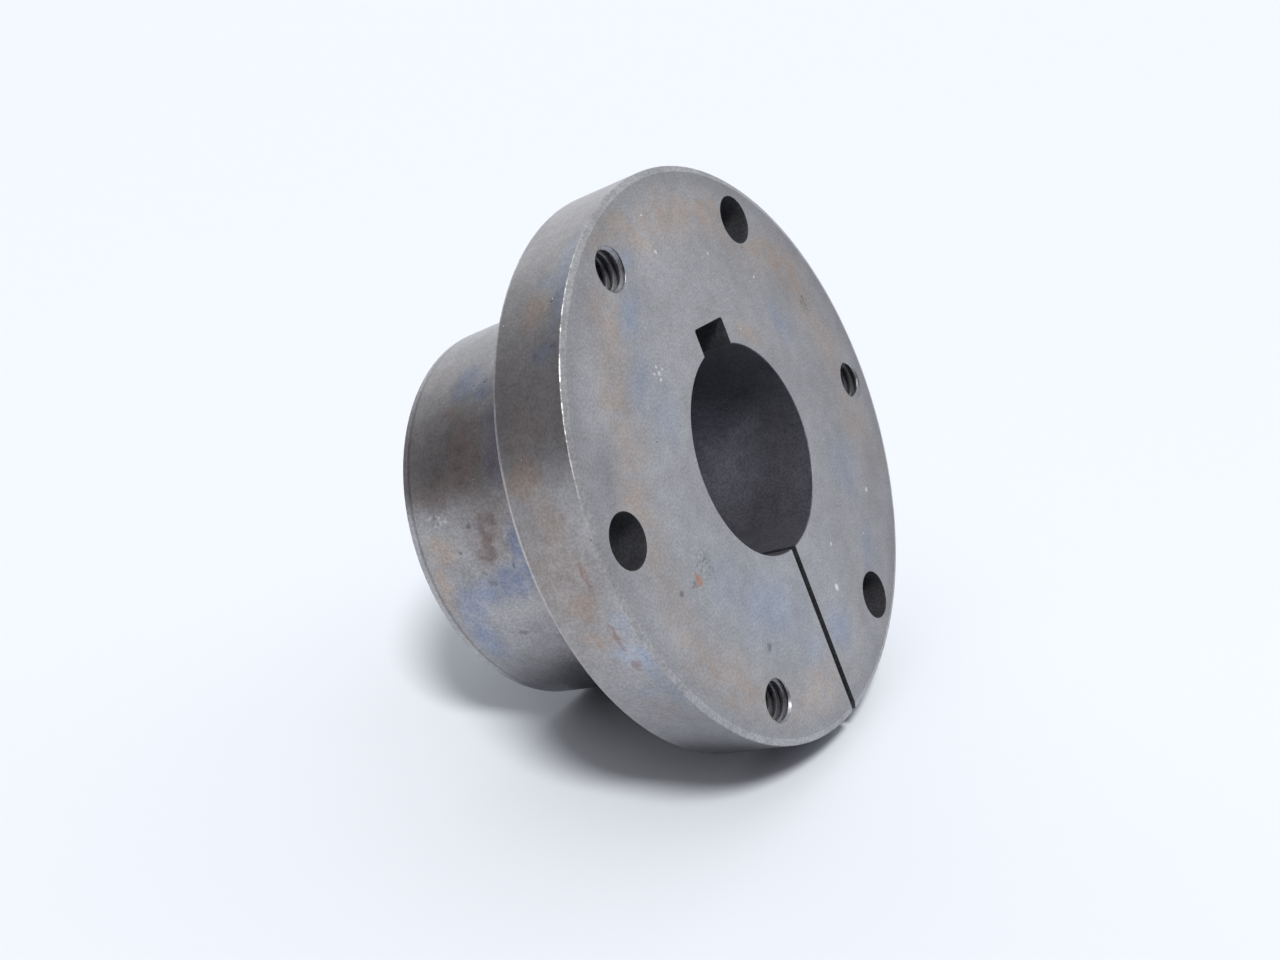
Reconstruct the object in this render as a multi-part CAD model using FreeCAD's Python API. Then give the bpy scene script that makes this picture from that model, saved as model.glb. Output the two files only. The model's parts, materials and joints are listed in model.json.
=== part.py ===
import FreeCAD, Part
import math
import os

from FreeCAD import Placement, Rotation, Vector

# A flanged split taper bushing for a keyed shaft, lying on a level surface.
#
# Every piece is first drawn in the bushing's own frame: the bore axis is Z, running from the
# flange's front face at Z 0 into the barrel, and the keyway is on the +Y side. The last step lays
# the pieces down: the flange's rim and the barrel's end both touch the surface, the keyway is on
# top and the split is underneath. The row's origin is the centre of the bore's mouth on the
# flange's front face, with +Z up, the barrel towards +Y, and the front face towards -Y.
# All lengths are in millimetres. Inch sizes are written as inches times INCH.

INCH = 25.4
OVERRUN = 3.0                               # how far a cutting shape runs past the metal

# Flange
FLANGE_R = 3.875 * INCH / 2
FLANGE_T = 9 / 16 * INCH
FRONT_BREAK_WIDTH = 1.1                     # the front edge is broken at a shallow angle
FRONT_BREAK_DEPTH = 0.3
FRONT_CORNER = 0.12                         # wear on the corner between the break and the rim
REAR_CHAMFER = 1.2

# Tapered barrel
LENGTH = (1 + 15 / 16) * INCH               # flange face to barrel end
BARREL_R = 2.8125 * INCH / 2                # at the flange's rear face
TAPER = 0.75 / 12 / 2                       # radius lost per length: 3/4 inch per foot on diameter
END_CHAMFER = 0.8
ROOT_FILLET = 1.0                           # where the barrel meets the flange

# Bore, keyway and split
BORE_R = 1.4375 * INCH / 2
BORE_CHAMFER = 0.12
KEYWAY_W = 3 / 8 * INCH
KEYWAY_DEPTH = 3 / 16 * INCH                # at the side of the keyway
KEYWAY_CORNER_R = 0.6
KEYWAY_FLOOR = math.sqrt(BORE_R**2 - (KEYWAY_W / 2) ** 2) + KEYWAY_DEPTH
SPLIT_W = INCH / 16

# Holes in the flange, all on one bolt circle
BOLT_CIRCLE_R = 3.3125 * INCH / 2
CLEARANCE_HOLE_R = 11 / 32 * INCH / 2
CLEARANCE_ANGLES = (0, 120, 240)
JACK_ANGLES = (60, 180, 300)
JACK_MAJOR_R = 5 / 16 * INCH / 2            # 5/16-18 thread
JACK_DRILL_R = 0.257 * INCH / 2
JACK_PITCH = INCH / 18
JACK_THREAD_LEAD = 1.2 * JACK_PITCH         # how far the groove runs past each face
JACK_MOUTH_R = 3.65                         # the small countersink at each end

# Both threads
THREAD_FLANK_ANGLE = 30                     # degrees, between a flank and the radius
THREAD_MARGIN = 0.1                         # pitches that a groove's mouth stands off the metal

# Key set screw, 1/4-20 by 1/2 inch, in a radial hole over the keyway
SCREW_MAJOR_R = INCH / 8
SCREW_MINOR_R = 2.42
SCREW_PITCH = INCH / 20
SCREW_LENGTH = INCH / 2
SCREW_Z = FLANGE_T / 2
SCREW_TIP_Y = KEYWAY_FLOOR + 0.5            # the tip stands clear of the keyway
SCREW_HOLE_R = SCREW_MAJOR_R + 0.05
SCREW_HOLE_MOUTH_R = 3.6
SCREW_POINT_CHAMFER = 0.8
SCREW_CUP_R = 1.5
SCREW_CUP_DEPTH = 0.7
SOCKET_ACROSS_FLATS = INCH / 8
SOCKET_DEPTH = 4.0
SOCKET_CHAMFER = 0.3


def barrel_radius(z):
    """Radius of the tapered barrel at height z."""
    return BARREL_R - TAPER * (z - FLANGE_T)


# The tilt that puts the flange's rear corner and the barrel's end corner on one level surface
END_CORNER_Z = LENGTH - END_CHAMFER
REAR_CORNER_Z = FLANGE_T - REAR_CHAMFER
REST_TILT = math.atan2(FLANGE_R - barrel_radius(END_CORNER_Z), END_CORNER_Z - REAR_CORNER_Z)


def face_from(edges):
    return Part.Face(Part.Wire(edges))


def polygon_face(points):
    return Part.Face(Part.makePolygon(points + points[:1]))


def turned(face):
    """A face in the XZ plane turned once round the bore axis."""
    return face.revolve(Vector(0, 0, 0), Vector(0, 0, 1), 360)


def on_bolt_circle(shape, degrees):
    """A copy of a shape, moved from the axis to one place on the bolt circle."""
    copy = shape.copy()
    copy.translate(Vector(BOLT_CIRCLE_R, 0, 0))
    copy.rotate(Vector(0, 0, 0), Vector(0, 0, 1), degrees)
    return copy


def turned_blank():
    """Flange and barrel as turned on a lathe, before boring."""
    root_r = barrel_radius(FLANGE_T + ROOT_FILLET)
    inner = Vector(root_r + ROOT_FILLET, 0, FLANGE_T)
    outer = Vector(root_r, 0, FLANGE_T + ROOT_FILLET)
    lean = ROOT_FILLET * (1 - math.sqrt(0.5))
    middle = Vector(root_r + lean, 0, FLANGE_T + lean)
    end_r = barrel_radius(END_CORNER_Z)
    front = [
        Vector(0, 0, 0),
        Vector(FLANGE_R - FRONT_BREAK_WIDTH, 0, 0),
        Vector(FLANGE_R - FRONT_CORNER, 0, FRONT_BREAK_DEPTH),
        Vector(FLANGE_R, 0, FRONT_BREAK_DEPTH + FRONT_CORNER),
        Vector(FLANGE_R, 0, REAR_CORNER_Z),
        Vector(FLANGE_R - REAR_CHAMFER, 0, FLANGE_T),
        inner,
    ]
    back = [
        outer,
        Vector(end_r, 0, END_CORNER_Z),
        Vector(end_r - END_CHAMFER, 0, LENGTH),
        Vector(0, 0, LENGTH),
    ]
    edges = [Part.makeLine(a, b) for a, b in zip(front, front[1:])]
    edges.append(Part.Arc(inner, middle, outer).toShape())
    edges += [Part.makeLine(a, b) for a, b in zip(back, back[1:] + front[:1])]
    return turned(face_from(edges))


def mouth_cone(mouth_r, hole_r, z, way):
    """A 45 degree cone that eases a hole's mouth at height z; way is 1 if the hole runs to +Z."""
    depth = mouth_r - hole_r
    wide = Vector(mouth_r + OVERRUN, 0, z - way * OVERRUN)
    narrow = Vector(hole_r, 0, z + way * depth)
    corners = [wide, narrow, Vector(0, 0, narrow.z), Vector(0, 0, wide.z)]
    return turned(polygon_face(corners))


def helical_groove(root_r, mouth_r, root_flat, pitch, start, end):
    """A thread groove about the Z axis: its flat bottom is at root_r and it opens to mouth_r."""
    root_half = root_flat / 2
    mouth_half = root_half + abs(root_r - mouth_r) * math.tan(math.radians(THREAD_FLANK_ANGLE))
    profile = Part.makePolygon(
        [
            Vector(mouth_r, 0, -mouth_half),
            Vector(root_r, 0, -root_half),
            Vector(root_r, 0, root_half),
            Vector(mouth_r, 0, mouth_half),
            Vector(mouth_r, 0, -mouth_half),
        ]
    )
    spine = Part.Wire(Part.makeHelix(pitch, end - start, mouth_r).Edges)
    groove = spine.makePipeShell([profile], True, True)
    groove.translate(Vector(0, 0, start))
    return groove


def bore_cutter():
    hole = Part.makeCylinder(BORE_R, LENGTH + 2 * OVERRUN, Vector(0, 0, -OVERRUN))
    mouth_r = BORE_R + BORE_CHAMFER
    return hole.fuse([mouth_cone(mouth_r, BORE_R, 0, 1), mouth_cone(mouth_r, BORE_R, LENGTH, -1)])


def keyway_cutter():
    block = Part.makeBox(
        KEYWAY_W, KEYWAY_FLOOR, LENGTH + 2 * OVERRUN, Vector(-KEYWAY_W / 2, 0, -OVERRUN)
    )
    floor_corners = [
        edge
        for edge in block.Edges
        if all(abs(vertex.Y - KEYWAY_FLOOR) < 1e-6 for vertex in edge.Vertexes)
        and abs(edge.Vertexes[0].Z - edge.Vertexes[1].Z) > LENGTH
    ]
    return block.makeFillet(KEYWAY_CORNER_R, floor_corners)


def split_cutter():
    reach = FLANGE_R + OVERRUN
    return Part.makeBox(SPLIT_W, reach, LENGTH + 2 * OVERRUN, Vector(-SPLIT_W / 2, -reach, -OVERRUN))


def clearance_hole_cutter():
    return Part.makeCylinder(CLEARANCE_HOLE_R, FLANGE_T + 2 * OVERRUN, Vector(0, 0, -OVERRUN))


def jack_hole_cutters():
    """Drill, thread groove and the two countersinks of one jack-screw hole."""
    drill = Part.makeCylinder(JACK_DRILL_R, FLANGE_T + 2 * OVERRUN, Vector(0, 0, -OVERRUN))
    groove = helical_groove(
        JACK_MAJOR_R,
        JACK_DRILL_R - THREAD_MARGIN * JACK_PITCH,
        JACK_PITCH / 8,
        JACK_PITCH,
        -JACK_THREAD_LEAD,
        FLANGE_T + JACK_THREAD_LEAD,
    )
    front_mouth = mouth_cone(JACK_MOUTH_R, JACK_DRILL_R, 0, 1)
    rear_mouth = mouth_cone(JACK_MOUTH_R, JACK_DRILL_R, FLANGE_T, -1)
    return [drill, groove, front_mouth, rear_mouth]


def stood_in_rim(shape):
    """A shape drawn along +Z, turned to point along +Y through the middle of the flange's rim."""
    copy = shape.copy()
    copy.rotate(Vector(0, 0, 0), Vector(1, 0, 0), -90)
    copy.translate(Vector(0, 0, SCREW_Z))
    return copy


def screw_hole_cutter():
    """The radial hole from the rim down into the keyway, eased where it meets the rim."""
    start = (BORE_R + KEYWAY_FLOOR) / 2
    hole = Part.makeCylinder(SCREW_HOLE_R, FLANGE_R + OVERRUN - start, Vector(0, 0, start))
    return stood_in_rim(hole.fuse(mouth_cone(SCREW_HOLE_MOUTH_R, SCREW_HOLE_R, FLANGE_R, -1)))


def bushing_body():
    """Flange and barrel in one piece of metal, bored, keyed, drilled, tapped and split."""
    cutters = [bore_cutter(), keyway_cutter(), split_cutter(), screw_hole_cutter()]
    cutters += [on_bolt_circle(clearance_hole_cutter(), angle) for angle in CLEARANCE_ANGLES]
    cutters += [on_bolt_circle(tool, angle) for angle in JACK_ANGLES for tool in jack_hole_cutters()]
    return turned_blank().cut(cutters)


def key_set_screw():
    """Headless screw with a cup point towards the keyway and a hexagon socket in its outer end."""
    tip, end = SCREW_TIP_Y, SCREW_TIP_Y + SCREW_LENGTH
    outline = [
        Vector(0, 0, tip + SCREW_CUP_DEPTH),
        Vector(SCREW_CUP_R, 0, tip),
        Vector(SCREW_MAJOR_R - SCREW_POINT_CHAMFER, 0, tip),
        Vector(SCREW_MAJOR_R, 0, tip + SCREW_POINT_CHAMFER),
        Vector(SCREW_MAJOR_R, 0, end - SOCKET_CHAMFER),
        Vector(SCREW_MAJOR_R - SOCKET_CHAMFER, 0, end),
        Vector(0, 0, end),
    ]
    groove = helical_groove(
        SCREW_MINOR_R,
        SCREW_MAJOR_R + THREAD_MARGIN * SCREW_PITCH,
        SCREW_PITCH / 4,
        SCREW_PITCH,
        tip - SCREW_PITCH,
        end + SCREW_PITCH,
    )
    corner = Vector(SOCKET_ACROSS_FLATS / math.sqrt(3), 0, end - SOCKET_DEPTH)
    corners = [Rotation(Vector(0, 0, 1), degrees).multVec(corner) for degrees in range(0, 360, 60)]
    socket = polygon_face(corners).extrude(Vector(0, 0, SOCKET_DEPTH + OVERRUN))
    return stood_in_rim(turned(polygon_face(outline)).cut([groove, socket]))


def laid_down(shape):
    """A shape moved from the bushing's own frame to the row's frame, lying on its two edges."""
    barrel_to_y = Placement(Vector(0, 0, 0), Rotation(Vector(0, 0, 1), 180))
    tilt = Placement(Vector(0, 0, 0), Rotation(Vector(1, 0, 0), -90 - math.degrees(REST_TILT)))
    return shape.transformed((tilt * barrel_to_y).toMatrix())


NODES = {
    "bushing_body": bushing_body,
    "key_set_screw": key_set_screw,
}

os.makedirs("parts", exist_ok=True)
for name, make in NODES.items():
    solid = laid_down(make()).Solids[0]
    if not solid.isValid():
        raise RuntimeError(f"{name} is not a valid solid")
    solid.exportStep(f"parts/{name}.step")
    print(f"{name}: volume {solid.Volume:.1f} mm3, lowest point {solid.BoundBox.ZMin:.3f} mm")
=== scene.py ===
import json
import math

import bpy
from mathutils import Euler, Matrix, Vector


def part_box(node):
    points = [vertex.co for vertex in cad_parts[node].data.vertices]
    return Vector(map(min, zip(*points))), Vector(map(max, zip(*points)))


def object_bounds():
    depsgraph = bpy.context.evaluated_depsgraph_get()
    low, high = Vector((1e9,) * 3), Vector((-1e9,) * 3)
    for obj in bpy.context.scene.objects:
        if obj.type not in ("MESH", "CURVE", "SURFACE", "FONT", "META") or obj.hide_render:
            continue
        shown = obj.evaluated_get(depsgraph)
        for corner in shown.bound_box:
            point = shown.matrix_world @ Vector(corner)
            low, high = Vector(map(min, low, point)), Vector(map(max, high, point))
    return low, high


# A flanged split taper bushing of oxidised turned steel, lying on a pale floor.
#
# Every marking is placed in the bushing's own frame, in millimetres and degrees: Z runs along the
# bore from the flange's front face into the barrel. Angles go round the bore, with the keyway at
# 90, the split at 270, plain holes at 0, 120 and 240, and tapped holes at 60, 180 and 300.

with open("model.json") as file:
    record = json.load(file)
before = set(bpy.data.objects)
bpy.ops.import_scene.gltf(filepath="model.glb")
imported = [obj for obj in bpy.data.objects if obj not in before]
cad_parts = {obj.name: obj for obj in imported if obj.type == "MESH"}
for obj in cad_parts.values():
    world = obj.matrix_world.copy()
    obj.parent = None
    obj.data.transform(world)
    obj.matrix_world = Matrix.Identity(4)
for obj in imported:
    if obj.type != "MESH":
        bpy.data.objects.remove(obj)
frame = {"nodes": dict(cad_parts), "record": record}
cad_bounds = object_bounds()

# ------------------------------------------------------------------------ sizes, from the frame

MM = 0.001
MOUNTS = {mount["name"]: mount for mount in frame["record"]["mounts"]}
BORE_AXIS = Vector(MOUNTS["bore"]["axis"])  # points out of the front face
REST_TILT = math.atan2(BORE_AXIS.z, -BORE_AXIS.y)
ROW_TO_BUSHING = Euler((math.radians(90) + REST_TILT, 0, math.radians(180)))
BORE_R = MOUNTS["bore"]["dims"]["r_mm"]
BOLT_CIRCLE_R = MOUNTS["cap_screw_holes"]["dims"]["pcd_mm"] / 2
FLANGE_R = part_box("bushing_body")[1].x / MM
FLOOR_Z = cad_bounds[0][2]


def in_bushing_frame(point):
    """A point of the row, in metres, as a place in the bushing's own frame, in millimetres."""
    place = point / MM
    place.rotate(ROW_TO_BUSHING)
    return place


BODY_PLACES = [in_bushing_frame(vertex.co) for vertex in frame["nodes"]["bushing_body"].data.vertices]
LENGTH = max(place.z for place in BODY_PLACES)
FLANGE_T = max(place.z for place in BODY_PLACES if place.xy.length > FLANGE_R - 2)

# ------------------------------------------------------------------------ node graphs

PATCH_FADE = 1.5  # a patch's edge, as a share of where its fading is halfway


class Graph:
    """A material's nodes, added one by one by short names. Lengths are in millimetres."""

    def __init__(self, name):
        self.material = bpy.data.materials.new(name)
        self.material.use_nodes = True
        self.tree = self.material.node_tree
        self.shader = self.tree.nodes["Principled BSDF"]
        coordinates = self.add("ShaderNodeTexCoord")
        mapping = self.add("ShaderNodeMapping")
        mapping.inputs["Scale"].default_value = (1 / MM, 1 / MM, 1 / MM)
        mapping.inputs["Rotation"].default_value = ROW_TO_BUSHING
        self.tree.links.new(coordinates.outputs["Object"], mapping.inputs["Vector"])
        self.place = mapping.outputs["Vector"]
        parts = self.add("ShaderNodeSeparateXYZ", Vector=self.place).outputs
        self.x, self.y, self.z = parts["X"], parts["Y"], parts["Z"]
        across_squared = self.math("MULTIPLY", self.y, self.y)
        self.radius = self.math("SQRT", self.math("MULTIPLY_ADD", self.x, self.x, across_squared))
        self.angle = self.math("MULTIPLY", self.math("ARCTAN2", self.y, self.x), 180 / math.pi)

    def add(self, kind, **inputs):
        node = self.tree.nodes.new(kind)
        for name, value in inputs.items():
            self.feed(node.inputs[name], value)
        return node

    def feed(self, socket, value):
        if isinstance(value, bpy.types.NodeSocket):
            self.tree.links.new(value, socket)
        else:
            socket.default_value = value

    def math(self, operation, *values):
        node = self.tree.nodes.new("ShaderNodeMath")
        node.operation = operation
        for socket, value in zip(node.inputs, values):
            self.feed(socket, value)
        return node.outputs["Value"]

    def combine(self, x, y, z):
        return self.add("ShaderNodeCombineXYZ", X=x, Y=y, Z=z).outputs["Vector"]

    def ease(self, value, low, high):
        """0 where value is at low, 1 where it is at high, and a smooth step between."""
        node = self.tree.nodes.new("ShaderNodeMapRange")
        node.interpolation_type = "SMOOTHSTEP"
        self.feed(node.inputs["Value"], value)
        turned = low > high
        node.inputs["From Min"].default_value = high if turned else low
        node.inputs["From Max"].default_value = low if turned else high
        node.inputs["To Min"].default_value = 1 if turned else 0
        node.inputs["To Max"].default_value = 0 if turned else 1
        return node.outputs["Result"]

    def noise(self, size, detail=3.0, seed=0.0, at=None):
        """Smooth noise from 0 to 1, whose spots are about size across."""
        at = at or self.place
        if seed:
            shift = self.add("ShaderNodeVectorMath")
            self.feed(shift.inputs[0], at)
            shift.inputs[1].default_value = (seed * 61, seed * 17, seed * 37)
            at = shift.outputs["Vector"]
        node = self.add("ShaderNodeTexNoise", Vector=at)
        node.inputs["Scale"].default_value = 1 / size
        node.inputs["Detail"].default_value = detail
        node.inputs["Roughness"].default_value = 0.55
        return node.outputs["Fac"]

    def warped(self, amount, size):
        """The bushing-frame place, pushed about by noise so that an outline laid on it wanders."""
        node = self.add("ShaderNodeTexNoise", Vector=self.place)
        node.inputs["Scale"].default_value = 1 / size
        node.inputs["Detail"].default_value = 4
        shift = self.add("ShaderNodeVectorMath")
        shift.operation = "MULTIPLY_ADD"
        self.feed(shift.inputs[0], node.outputs["Color"])
        shift.inputs[1].default_value = (2 * amount,) * 3
        shift.inputs[2].default_value = (-amount,) * 3
        total = self.add("ShaderNodeVectorMath")
        self.feed(total.inputs[0], shift.outputs["Vector"])
        self.feed(total.inputs[1], self.place)
        return total.outputs["Vector"]

    def blob(self, at, angle, radius, z, size, inner=0.0):
        """An ellipsoid round one place: 0 at its edge, easing to 1 at the share inner of its size.

        The size is half its extent outwards, round the bore and along the bore."""
        a = math.radians(angle)
        node = self.add("ShaderNodeMapping", Vector=at)
        node.vector_type = "TEXTURE"
        node.inputs["Location"].default_value = (radius * math.cos(a), radius * math.sin(a), z)
        node.inputs["Rotation"].default_value = (0, 0, a)
        node.inputs["Scale"].default_value = size
        away = self.add("ShaderNodeVectorMath", Vector=node.outputs["Vector"])
        away.operation = "LENGTH"
        return self.ease(away.outputs["Value"], 1.0, inner)

    def most(self, masks):
        """The highest of several masks, each given with its strength."""
        total = 0.0
        for strength, mask in masks:
            total = self.math("MAXIMUM", total, self.math("MULTIPLY", mask, strength))
        return total

    def face_patches(self, at, places):
        """Soft patches on the front face."""
        return self.most(
            (strength, self.blob(at, angle, radius, 0, (radial, along, 9)))
            for strength, angle, radius, radial, along in places
        )

    def round_patches(self, at, surface_r, places):
        """Soft patches on a round surface, each between two angles and two heights."""
        masks = []
        for strength, start, end, low, high in places:
            along = math.radians(abs(end - start)) * surface_r / 2
            size = (surface_r, along * PATCH_FADE, (high - low) / 2 * PATCH_FADE)
            middle = ((start + end) / 2, surface_r, (low + high) / 2)
            masks.append((strength, self.blob(at, *middle, size, 0.3)))
        return self.math("MULTIPLY", self.most(masks), self.ragged())

    def ragged(self):
        """A fine unevenness for patches: mostly near 1, thinner here and there."""
        return self.math("MULTIPLY_ADD", self.ease(self.noise(2.2, 4), 0.35, 0.6), 0.4, 0.6)

    def painted_underside_shade(self):
        """Painted shade: 1 on the lower side, which faces the shadowed floor, easing to 0 round the
        bore.
        """
        return self.math("MULTIPLY", self.ease(self.angle, -12, -60), self.ease(self.angle, -170, -105))

    def dots(self, at, places):
        """Small firm spots, each (strength, angle, radius, z, half width)."""
        return self.most(
            (strength, self.blob(at, angle, radius, z, (size, size, size), 0.5))
            for strength, angle, radius, z, size in places
        )

    def specks(self, size, level, seed=0.0):
        """Small scattered spots: 1 where noise of that size passes a level, 0 elsewhere."""
        return self.ease(self.noise(size, 1.5, seed=seed), level, level + 0.03)

    def tint(self, colour, by, share):
        """colour multiplied by another colour, as far as share says."""
        node = self.tree.nodes.new("ShaderNodeMix")
        node.data_type = "RGBA"
        node.blend_type = "MULTIPLY"
        node.clamp_factor = True
        self.feed(node.inputs["Factor"], share)
        self.feed(node.inputs[6], colour if isinstance(colour, bpy.types.NodeSocket) else (*colour, 1))
        self.feed(node.inputs[7], (*by, 1))
        return node.outputs[2]

    def curve_round(self, points, column, full=1.0):
        """A share of full that changes round the bore: points are rows that start with an angle."""
        node = self.add("ShaderNodeValToRGB", Fac=self.math("MULTIPLY_ADD", self.angle, 1 / 360, 0.5))
        elements = node.color_ramp.elements
        for index, point in enumerate(points):
            spot = point[0] / 360 + 0.5
            element = elements[index] if index < 2 else elements.new(spot)
            element.position = spot
            element.color = (point[column] / full,) * 3 + (1,)
        return node.outputs["Color"]


# ------------------------------------------------------------------------ steel

BLUE = (0.84, 0.95, 1.14)
DEEP_BLUE = (0.76, 0.84, 1.04)
PALE_BLUE = (0.98, 1.08, 1.26)
VIOLET = (0.92, 0.90, 1.06)
STRAW = (1.12, 0.95, 0.82)
BROWN = (0.62, 0.53, 0.50)
REDDISH = (1.02, 0.91, 0.86)
RUST = (0.80, 0.64, 0.60)
PALE = (1.13, 1.12, 1.12)
TAN = (0.77, 0.735, 0.71)
DULL = (0.80, 0.79, 0.80)
# painted shade for the lower side of the rim and the barrel
PAINTED_SHADE = (0.35, 0.36, 0.41)
SHADE = (0.55, 0.55, 0.56)
BRIGHT = (2.0, 2.0, 2.0)
SHADED_SIDE = (0.83, 0.82, 0.82)
OUTER_RING = (0.86, 0.86, 0.86)
SMUDGE = (0.6, 0.6, 0.58)
FRESH_RUST = (1.2, 0.7, 0.5)
SCUFFED = (1.6, 1.6, 1.62)
END_LINE = (0.72, 0.72, 0.74)
END_BREAK = (1.15, 1.15, 1.15)
LIGHTER_BORE_PATCH = (1.8, 1.8, 1.85)


def steel(graph, colour, roughness, bump, metallic=0.8):
    """Finishes a graph as bare, oxidised steel. The bump's height is in millimetres."""
    shader = graph.shader
    graph.feed(shader.inputs["Base Color"], colour)
    graph.feed(shader.inputs["Roughness"], roughness)
    shader.inputs["Metallic"].default_value = metallic
    node = graph.add("ShaderNodeBump", Height=bump)
    node.inputs["Distance"].default_value = MM
    graph.feed(shader.inputs["Normal"], node.outputs["Normal"])
    return graph.material


def grained(graph, colour, amount):
    """Fine and middling mottling, darker and lighter than the colour under it."""
    for size, detail, share in ((0.45, 2, 1.4), (2.6, 4, 0.7), (13, 3, 0.9)):
        mottle = graph.ease(graph.noise(size, detail), 0.3, 0.7)
        colour = graph.tint(colour, (1 - amount * share,) * 3, mottle)
    return colour


def turned_bump(graph, along, line_depth, grain_depth, pits=0.0):
    """The lathe's fine lines across a direction, a finer grain, and pits."""
    lines = graph.noise(0.35, 2, at=graph.combine(along, 0, 0))
    bump = graph.math("MULTIPLY", lines, line_depth)
    bump = graph.math("MULTIPLY_ADD", graph.noise(0.5, 3), grain_depth, bump)
    return graph.math("MULTIPLY_ADD", pits, -0.06, bump)


# Straw-brown heat band on the front face: angle, radius, strength
HEAT_BAND = [
    (-180, 38, 0.45),
    (-169, 40, 0.75),
    (-158, 40, 0.25),
    (-140, 38, 0.0),
    (-118, 36, 0.2),
    (-98, 42, 0.1),
    (-79, 42, 0.8),
    (-66, 43, 0.45),
    (-48, 42, 0.8),
    (-26, 41.5, 0.7),
    (-15, 39, 0.5),
    (-7, 37, 0.55),
    (8, 36.5, 0.85),
    (21, 35, 0.6),
    (31, 38, 0.9),
    (40, 38.5, 0.6),
    (47, 39.5, 1.0),
    (57, 42, 0.15),
    (66, 46, 0.45),
    (73, 42.5, 1.0),
    (80, 41.5, 0.6),
    (90, 41, 0.9),
    (110, 41, 0.9),
    (118, 37, 0.35),
    (128, 38.5, 0.8),
    (136, 40.5, 1.0),
    (151, 40.3, 1.0),
    (158, 38.5, 0.6),
    (168, 38, 0.75),
    (180, 38, 0.45),
]
BAND_R_MAX = 60

# Patches on the front face: strength, angle, radius, half size outwards and round
FACE_STRAW = [
    (0.9, 122, 21, 3, 7),
    (0.7, 191, 36, 5, 6),
    (0.4, 200, 46, 3, 6),
    (0.7, 62, 46.5, 3, 6),
    (0.3, 95, 38, 5, 12),
]
FACE_BLUE = [
    (0.75, 300, 27, 10, 16),
    (0.9, 262, 36, 7, 7),
    (0.6, 204, 30, 8, 9),
    (0.7, 228, 38, 4, 7),
    (0.5, 327, 27, 8, 9),
    (0.7, 145, 29, 4, 7),
    (0.9, 54, 36, 4, 8),
    (0.6, 38, 31, 5, 8),
    (0.6, 66, 41, 3, 5),
    (0.5, 30, 25, 6, 8),
    (0.5, 280, 35, 6, 7),
]
FACE_DULL = [
    (1.0, 14, 42.5, 5, 10),
    (1.0, 47, 44, 4, 9),
    (0.7, 205, 42, 6, 12),
    (0.6, 238, 40, 6, 14),
]
FACE_LIGHT = [
    (1.0, 80, 37, 8, 12),
    (0.6, 150, 26, 6, 12),
]
FACE_SMUDGES = [
    (1.0, 340, 28.5, 4, 4.5),
    (0.6, 223, 27, 2.5, 2.5),
    (1.0, 153, 39.5, 2.2, 3.5),
]
# Small spots on the front face: strength, angle, radius, z, half width
FACE_PITS = [
    (0.9, -18.4, 36.7, 0, 0.8),
    (0.9, -57.6, 33.7, 0, 0.9),
    (0.6, 152, 39.5, 0, 0.7),
    (0.6, -21, 33, 0, 0.6),
]
FACE_DOTS = [
    (1.0, 211, 38, 0, 0.55),
    (1.0, 241, 26, 0, 0.45),
    (0.9, -107, 31, 0, 0.75),
    (0.8, 104, 34, 0, 0.4),
    (0.8, 128, 33, 0, 0.4),
    (0.7, 79, 37, 0, 0.4),
    (0.7, 43.2, 26.2, 0, 0.4),
    (0.6, 45.0, 26.8, 0, 0.45),
    (0.7, 46.4, 27.8, 0, 0.35),
    (0.6, 43.8, 28.0, 0, 0.35),
    (0.5, 47.4, 26.2, 0, 0.35),
]


def front_face_steel():
    """The flange's flat faces: a straw-brown heat band round the bolt circle, and blue patches."""
    graph = Graph("front_face_steel")
    at = graph.warped(2.2, 7)
    wander = graph.math("MULTIPLY_ADD", graph.noise(6, 4), 8, -4)
    band_r = graph.math("MULTIPLY_ADD", graph.curve_round(HEAT_BAND, 1, BAND_R_MAX), BAND_R_MAX, wander)
    from_band = graph.math("ABSOLUTE", graph.math("SUBTRACT", graph.radius, band_r))
    heat = graph.math("MULTIPLY", graph.ease(from_band, 6.5, 0.5), graph.curve_round(HEAT_BAND, 2))
    heat = graph.math("MULTIPLY", heat, graph.ease(graph.noise(3.0, 4), 0.25, 0.6))
    colour = grained(graph, (0.422, 0.424, 0.442), 0.15)
    colour = graph.tint(colour, SHADED_SIDE, graph.ease(graph.x, 10, -40))
    colour = graph.tint(colour, BLUE, graph.face_patches(at, FACE_BLUE))
    colour = graph.tint(colour, STRAW, graph.math("MAXIMUM", heat, graph.face_patches(at, FACE_STRAW)))
    colour = graph.tint(colour, DULL, graph.face_patches(at, FACE_DULL))
    colour = graph.tint(colour, PALE, graph.face_patches(at, FACE_LIGHT))
    colour = graph.tint(colour, OUTER_RING, graph.ease(graph.radius, 44.0, 47.5))
    scratched = graph.ease(graph.noise(0.7, 4), 0.48, 0.56)
    smudge = graph.math("MULTIPLY", graph.face_patches(at, FACE_SMUDGES), scratched)
    colour = graph.tint(colour, SMUDGE, smudge)
    ragged = graph.warped(0.5, 1.2)
    rust_spot = graph.blob(ragged, 338.3, 31.6, 0, (1.1, 1.4, 9), 0.4)
    colour = graph.tint(colour, FRESH_RUST, rust_spot)
    pits = graph.math("MAXIMUM", graph.specks(1.6, 0.76), graph.dots(ragged, FACE_PITS))
    colour = graph.tint(colour, SHADE, pits)
    dots = graph.math("MAXIMUM", graph.specks(1.3, 0.80, seed=1), graph.dots(ragged, FACE_DOTS))
    colour = graph.tint(colour, BRIGHT, dots)
    roughness = graph.math("MULTIPLY_ADD", graph.noise(1.5, 4), 0.16, 0.36)
    return steel(graph, colour, roughness, turned_bump(graph, graph.radius, 0.006, 0.014, pits))


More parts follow.
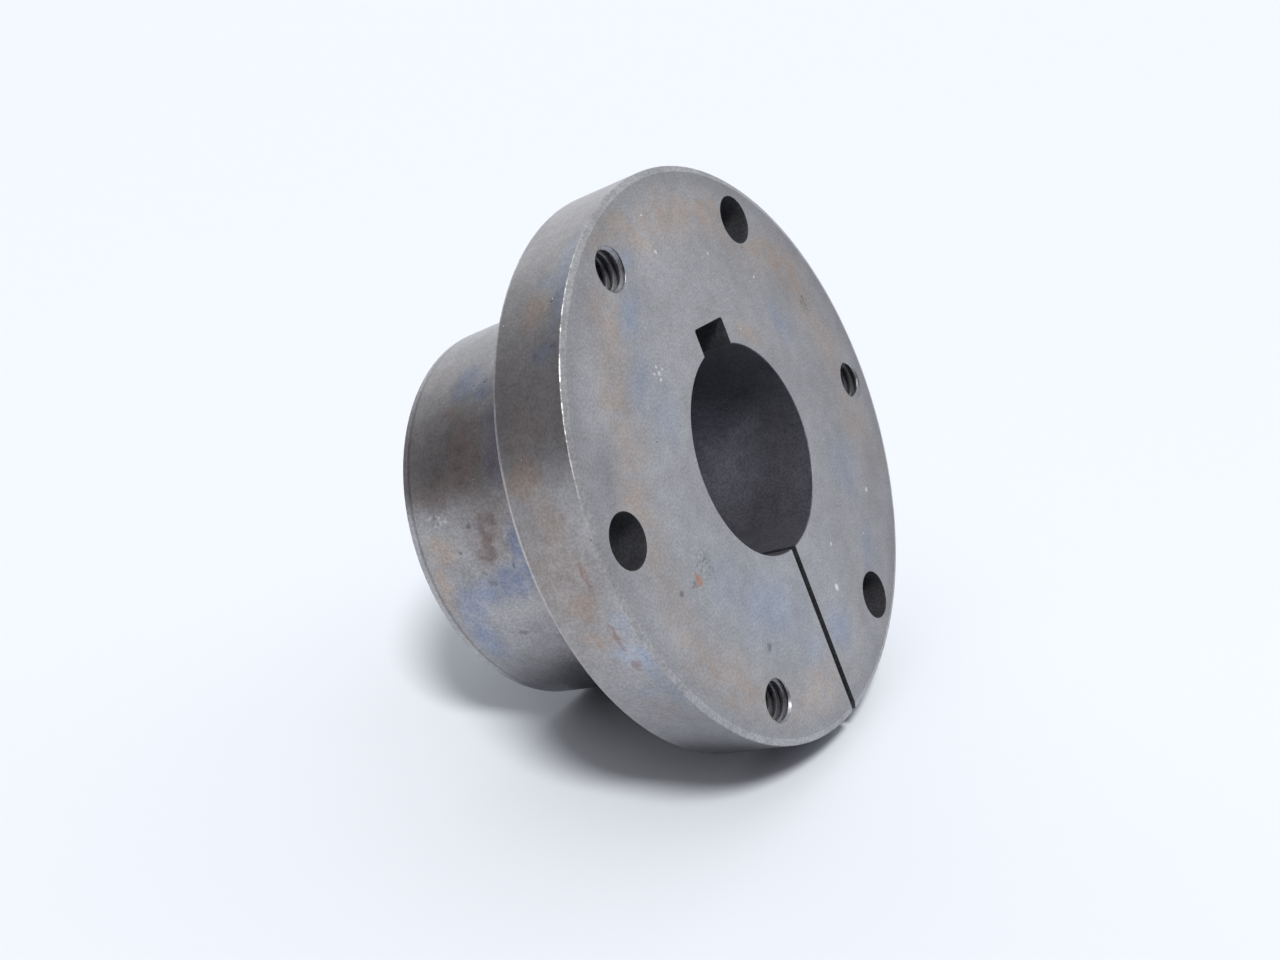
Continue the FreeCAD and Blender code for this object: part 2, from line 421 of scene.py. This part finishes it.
# Patches on the rim: strength, from angle, to angle, from z, to z
RIM_PATCHES = [
    (
        BLUE,
        [
            (0.8, 62, 36, 0, 3.2),
            (0.7, 53, 49, 0, 6),
            (0.9, 38, 34, 0, 6.5),
            (0.6, -9, -14, 0.5, 3.5),
            (0.6, -17, -32, 0, 3),
            (0.6, 110, 150, 2, 9),
            (0.6, 190, 225, 3, 12),
            (0.5, 258, 282, 1, 8),
        ],
    ),
    (PALE_BLUE, [(0.9, -15.5, -21, 1, 6.5), (0.6, -25.5, -28.5, 3, 8), (0.4, 160, 175, 6, 11)]),
    (
        STRAW,
        [
            (0.8, 49, 42, 3.5, 8.5),
            (0.9, 19, 13, 6, 12.5),
            (0.5, 14, 3, 4.8, 9.5),
            (0.3, 8, -10, 3, 12.5),
            (0.8, -4.5, -10, 4.5, 9.5),
            (0.9, -12, -16, 5, 9.5),
            (0.6, 95, 120, 3, 9),
            (0.8, 150, 172, 1, 7),
            (0.7, 225, 248, 4, 11),
        ],
    ),
    (REDDISH, [(0.6, 29, 18, 4.5, 12), (0.5, -30.5, -36, 3.5, 8.5), (0.6, 180, 198, 1, 6)]),
    (TAN, [(1.0, 14, -17, 1, 20), (0.6, 196, 222, 4, 14)]),
    (PALE, [(1.0, 84, 56, -2, 15)]),
]
RIM_RUST = [
    (0.8, 9, 7.4, 3.6, 4.4),
    (0.9, 0.7, -0.6, 3.7, 4.5),
    (1.0, 1.0, -4.6, 3.5, 4.6),
    (1.0, -11.6, -17.0, 3.7, 4.5),
    (0.8, -16.2, -17.3, 3.5, 4.4),
    (0.9, -19.2, -21.8, 3.2, 4.8),
    (0.7, 37.6, 36.2, 0.8, 2.0),
    (0.6, 36.4, 35.6, 4.6, 5.4),
]
REAR_GLINT = (1, 60, -6, 8, 18)
REAR_GLINT_Z = (12.7, 12.95)  # where it eases in, just before the rear chamfer


def rim_steel():
    """The flange's rim: blue and straw patches, rust streaks, and a bright line at its rear edge."""
    graph = Graph("rim_steel")
    at = graph.warped(1.6, 4)
    colour = grained(graph, (0.48, 0.468, 0.472), 0.16)
    for tint, places in RIM_PATCHES:
        colour = graph.tint(colour, tint, graph.round_patches(at, FLANGE_R, places))
    # painted shade on the rim's lower side, where it faces the shadowed floor
    colour = graph.tint(colour, PAINTED_SHADE, graph.painted_underside_shade())
    ragged = graph.warped(0.6, 1.2)
    colour = graph.tint(colour, RUST, graph.round_patches(ragged, FLANGE_R, RIM_RUST))
    pits = graph.specks(1.4, 0.75)
    colour = graph.tint(colour, SHADE, pits)
    glint = graph.round_patches(graph.place, FLANGE_R, [REAR_GLINT])
    glint = graph.math("MULTIPLY", graph.ease(graph.z, *REAR_GLINT_Z), glint)
    colour = graph.tint(colour, BRIGHT, glint)
    roughness = graph.math("MULTIPLY_ADD", graph.noise(1.5, 4), 0.14, 0.24)
    return steel(graph, colour, roughness, turned_bump(graph, graph.z, 0.008, 0.014, pits), 0.95)


BARREL_R = 35  # near enough for placing patches

# Patches on the barrel: strength, from angle, to angle, from z, to z
BARREL_PATCHES = [
    (
        DEEP_BLUE,
        [
            (1.0, 58, 47, 32, 38.5),
            (0.9, 51, 44, 28, 33),
            (0.6, 42, 34, 25, 30),
            (0.5, -4, -30, 39, 45),
            (0.8, 9, -9, 23.5, 28),
            (1.0, -3, -12, 27, 39),
            (0.6, 205, 222, 16, 30),
        ],
    ),
    (
        BLUE,
        [
            (0.8, -1, -9, 25, 32),
            (0.7, -3, -14, 36, 44),
            (0.8, -14, -30, 41, 46),
            (0.7, 9, 0, 24, 29),
            (0.7, 120, 150, 22, 38),
            (0.7, 222, 245, 18, 30),
        ],
    ),
    (VIOLET, [(1.0, 35, 19, 24, 28.5), (0.5, -18, -32, 27, 37), (0.6, 86, 104, 30, 42)]),
    (
        REDDISH,
        [
            (1.0, 41, 19, 30, 38),
            (1.0, 46, 41, 35, 38.5),
            (0.9, 26, 18, 35, 46.5),
            (0.5, 64, 54, 39, 47.5),
            (0.7, 255, 262, 30, 46),
        ],
    ),
    (
        STRAW,
        [
            (0.9, 10.5, 1, 40, 46),
            (0.7, 3, -13, 43.5, 47),
            (0.7, 104, 118, 18, 34),
            (0.7, 168, 200, 26, 40),
            (0.6, 275, 300, 34, 45),
        ],
    ),
    (
        BROWN,
        [
            (0.45, 18, 1, 25, 38),
            (1.0, 14, 8, 28.5, 33),
            (1.0, 11, 4, 29.5, 34),
            (1.0, 8, 0, 30.5, 36),
        ],
    ),
    (
        TAN,
        [
            (0.9, 22, -14, 17, 34),
            (0.5, 42, 14, 30, 44),
            (0.5, 4, -14, 38, 46),
            (0.8, -14, -44, 16, 36),
            (0.6, 150, 172, 24, 44),
        ],
    ),
    (PALE, [(1.0, 44, 12, 43, 49)]),
]
BARREL_PITS = [
    (0.9, -4.5, -6.5, 33.2, 34.9),
    (1.0, -21.7, -23.2, 33.0, 35.3),
    (0.7, 12, 10.6, 34.3, 35.6),
    (0.6, 50.8, 49.4, 29.4, 30.6),
    (0.6, -1.5, -3, 34.5, 35.5),
]
BARREL_SCUFF = (1, 17, 13, 39, 44)
END_LINE_START_Z = (46.6, 46.9)
END_LINE_STOP_Z = (47.5, 47.2)
END_BREAK_Z = (47.2, 47.6)


def barrel_steel():
    """The taper and the barrel's end: a brown core, a blue arc, and a dark line near the end."""
    graph = Graph("barrel_steel")
    at = graph.warped(2.2, 5)
    colour = grained(graph, (0.48, 0.47, 0.475), 0.19)
    for tint, places in BARREL_PATCHES:
        colour = graph.tint(colour, tint, graph.round_patches(at, BARREL_R, places))
    # painted shade on the barrel's lower side, where it faces the shadowed floor
    colour = graph.tint(colour, PAINTED_SHADE, graph.painted_underside_shade())
    ragged = graph.warped(0.6, 1.2)
    pits = graph.round_patches(ragged, BARREL_R, BARREL_PITS)
    pits = graph.math("MAXIMUM", graph.specks(2.0, 0.76), pits)
    colour = graph.tint(colour, SHADE, pits)
    scuff = graph.round_patches(at, BARREL_R, [BARREL_SCUFF])
    scuff = graph.math("MULTIPLY", scuff, graph.ease(graph.noise(1.0, 4), 0.45, 0.65))
    colour = graph.tint(colour, SCUFFED, scuff)
    start, stop = graph.ease(graph.z, *END_LINE_START_Z), graph.ease(graph.z, *END_LINE_STOP_Z)
    colour = graph.tint(colour, END_LINE, graph.math("MULTIPLY", start, stop))
    colour = graph.tint(colour, END_BREAK, graph.ease(graph.z, *END_BREAK_Z))
    roughness = graph.math("MULTIPLY_ADD", graph.noise(1.8, 4), 0.14, 0.22)
    return steel(graph, colour, roughness, turned_bump(graph, graph.z, 0.010, 0.014, pits), 0.95)


def edge_steel():
    """The narrow broken edges, a little lighter than the faces and nicked along their outermost corner.
    """
    graph = Graph("edge_steel")
    colour = grained(graph, (0.51, 0.51, 0.52), 0.2)
    corner = graph.ease(graph.radius, FLANGE_R - 0.14, FLANGE_R - 0.1)
    gaps = graph.math("MULTIPLY", corner, graph.ease(graph.noise(1.1, 4), 0.55, 0.47))
    bump = graph.math("MULTIPLY", graph.noise(0.9, 4), 0.02)
    roughness = graph.math("MULTIPLY_ADD", graph.noise(1.2, 3), 0.1, 0.42)
    roughness = graph.math("MULTIPLY_ADD", gaps, 0.4, roughness)
    return steel(graph, colour, roughness, bump, 0.85)


def bore_steel():
    """The bore's wall, lighter at one side."""
    graph = Graph("bore_steel")
    colour = grained(graph, (0.155, 0.155, 0.18), 0.25)
    # a lighter patch on one side of the bore's wall
    lighter_patch = graph.blob(graph.warped(3, 9), 185, BORE_R, 18, (20, 16, 11))
    colour = graph.tint(colour, LIGHTER_BORE_PATCH, lighter_patch)
    roughness = graph.math("MULTIPLY_ADD", graph.noise(1.5, 4), 0.2, 0.34)
    return steel(graph, colour, roughness, turned_bump(graph, graph.z, 0.008, 0.0), 0.6)


def slot_steel():
    """Inside the plain holes, the keyway and the split: dark, dull oxide."""
    graph = Graph("slot_steel")
    colour = grained(graph, (0.125, 0.125, 0.14), 0.3)
    roughness = graph.math("MULTIPLY_ADD", graph.noise(1.5, 4), 0.2, 0.36)
    return steel(graph, colour, roughness, turned_bump(graph, graph.z, 0.008, 0.0), 0.6)


def thread_steel():
    """The tapped holes: cut after the oxide formed, so brighter and glossier."""
    graph = Graph("thread_steel")
    colour = grained(graph, (0.40, 0.40, 0.43), 0.25)
    bump = graph.math("MULTIPLY", graph.noise(0.5, 3), 0.02)
    roughness = graph.math("MULTIPLY_ADD", graph.noise(1.0, 3), 0.15, 0.26)
    return steel(graph, colour, roughness, bump, 0.9)


def black_oxide():
    """The key set screw."""
    graph = Graph("black_oxide")
    colour = grained(graph, (0.03, 0.03, 0.033), 0.3)
    bump = graph.math("MULTIPLY", graph.noise(0.4, 3), 0.01)
    roughness = graph.math("MULTIPLY_ADD", graph.noise(1.0, 3), 0.2, 0.3)
    return steel(graph, colour, roughness, bump, 0.6)


# ------------------------------------------------------------------------ which steel goes where

SKINS = {
    "front_face": front_face_steel,
    "rim": rim_steel,
    "barrel": barrel_steel,
    "edge": edge_steel,
    "bore": bore_steel,
    "slot": slot_steel,
    "thread": thread_steel,
}

# Reaches that tell the surfaces apart, in millimetres
ON_PLANE = 0.001
ON_WALL = 0.3
JACK_HOLE_REACH = 4.3  # past the thread's grooves and their mouth
FRONT_BREAK_REACH = 1.5
END_BREAK_REACH = 0.9
BARREL_R_MIN = 33.5


def skin_of(polygon):
    """Which of the body's surfaces a polygon of its mesh lies on."""
    place = in_bushing_frame(polygon.center)
    normal = polygon.normal.copy()
    normal.rotate(ROW_TO_BUSHING)
    radius = place.xy.length
    outward = place.xy.normalized().dot(normal.xy)
    along_bolt_circle = math.degrees(math.atan2(place.y, place.x)) % 120 - 60
    from_jack_hole = Vector((radius - BOLT_CIRCLE_R, radius * math.radians(along_bolt_circle)))
    if place.z < ON_PLANE or (abs(place.z - FLANGE_T) < ON_PLANE and normal.z > 0.99):
        return "front_face"
    if 0 < place.z < FLANGE_T and from_jack_hole.length < JACK_HOLE_REACH:
        return "thread"
    if place.z < FLANGE_T and radius > FLANGE_R - ON_WALL and outward > 0.99:
        return "rim"
    if place.z < FLANGE_T and radius > FLANGE_R - FRONT_BREAK_REACH and abs(normal.z) > 0.5:
        return "edge"
    if place.z >= FLANGE_T and radius > BARREL_R_MIN and outward > 0.6:
        return "barrel"
    if place.z > LENGTH - END_BREAK_REACH and radius > BORE_R + ON_WALL:
        return "barrel"
    if radius < BORE_R + ON_WALL and outward < -0.6:
        return "bore"
    return "slot"


def dress_body():
    mesh = frame["nodes"]["bushing_body"].data
    mesh.materials.clear()
    for make in SKINS.values():
        mesh.materials.append(make())
    order = list(SKINS)
    for polygon in mesh.polygons:
        polygon.material_index = order.index(skin_of(polygon))


def dress_screw():
    mesh = frame["nodes"]["key_set_screw"].data
    mesh.materials.clear()
    mesh.materials.append(black_oxide())


dress_body()
dress_screw()

# ------------------------------------------------------------------------ floor, light and camera

FLOOR_SIZE = 40
BRIGHT_SIDE = (0.985, 0.174, 0)
KEY_LIGHT_WAY = Vector((0.46, 0.42, -1))
CAMERA_PLACE = (-0.19285, -0.09265, 0.07856)
CAMERA_HEADING = math.radians(-59.09)
CAMERA_ELEVATION = math.radians(21.38)
CAMERA_ROLL = math.radians(-2.37)


def make_floor():
    bpy.ops.mesh.primitive_plane_add(size=FLOOR_SIZE, location=(0, 0, FLOOR_Z))
    floor = bpy.context.object
    floor.name = "floor"
    material = bpy.data.materials.new("floor")
    material.use_nodes = True
    shader = material.node_tree.nodes["Principled BSDF"]
    shader.inputs["Base Color"].default_value = (0.63, 0.655, 0.695, 1)
    shader.inputs["Roughness"].default_value = 0.7
    floor.data.materials.append(material)


class Sky:
    """The world's nodes: how bright the light is from each direction."""

    def __init__(self, name):
        self.world = bpy.data.worlds.new(name)
        self.world.use_nodes = True
        self.tree = self.world.node_tree
        self.direction = self.tree.nodes.new("ShaderNodeTexCoord").outputs["Generated"]

    def towards(self, way, low, high):
        """0 to 1 as the direction turns towards way, from a cosine of low to one of high."""
        dot = self.tree.nodes.new("ShaderNodeVectorMath")
        dot.operation = "DOT_PRODUCT"
        self.tree.links.new(self.direction, dot.inputs[0])
        dot.inputs[1].default_value = way
        ramp = self.tree.nodes.new("ShaderNodeMapRange")
        ramp.interpolation_type = "SMOOTHSTEP"
        ramp.inputs["From Min"].default_value = low
        ramp.inputs["From Max"].default_value = high
        self.tree.links.new(dot.outputs["Value"], ramp.inputs["Value"])
        return ramp.outputs["Result"]

    def mix(self, share, colour, other):
        node = self.tree.nodes.new("ShaderNodeMix")
        node.data_type = "RGBA"
        self.tree.links.new(share, node.inputs["Factor"])
        for socket, value in ((node.inputs[6], colour), (node.inputs[7], other)):
            if isinstance(value, bpy.types.NodeSocket):
                self.tree.links.new(value, socket)
            else:
                socket.default_value = (*value, 1)
        return node.outputs[2]


def make_world():
    """Light from all round: brightest overhead, bright in front of the flange, dim beyond its rim."""
    sky = Sky("studio")
    side = sky.towards(BRIGHT_SIDE, 0.0, 0.55)
    light = sky.mix(side, (0.155, 0.145, 0.155), (0.84, 0.86, 0.90))
    overhead = sky.towards((0, 0, 1), 0.42, 0.82)
    light = sky.mix(overhead, light, (0.80, 0.82, 0.85))
    background = sky.tree.nodes["Background"]
    sky.tree.links.new(light, background.inputs["Color"])
    bpy.context.scene.world = sky.world


def add_key_light():
    """One soft light, high up behind the camera."""
    light = bpy.data.lights.new("key_light", "SUN")
    light.angle = math.radians(14)
    light.energy = 2.95
    key_light = bpy.data.objects.new("key_light", light)
    bpy.context.scene.collection.objects.link(key_light)
    key_light.rotation_euler = KEY_LIGHT_WAY.to_track_quat("-Z", "Y").to_euler()


def add_camera():
    camera = bpy.data.objects.new("camera", bpy.data.cameras.new("camera"))
    bpy.context.scene.collection.objects.link(camera)
    camera.data.lens = 38.09
    camera.data.sensor_width = 36
    camera.matrix_world = (
        Matrix.Translation(CAMERA_PLACE)
        @ Matrix.Rotation(CAMERA_HEADING, 4, "Z")
        @ Matrix.Rotation(math.radians(90) - CAMERA_ELEVATION, 4, "X")
        @ Matrix.Rotation(CAMERA_ROLL, 4, "Z")
    )
    bpy.context.scene.camera = camera


make_floor()
make_world()
add_key_light()
add_camera()
bpy.context.scene.view_settings.view_transform = "Standard"
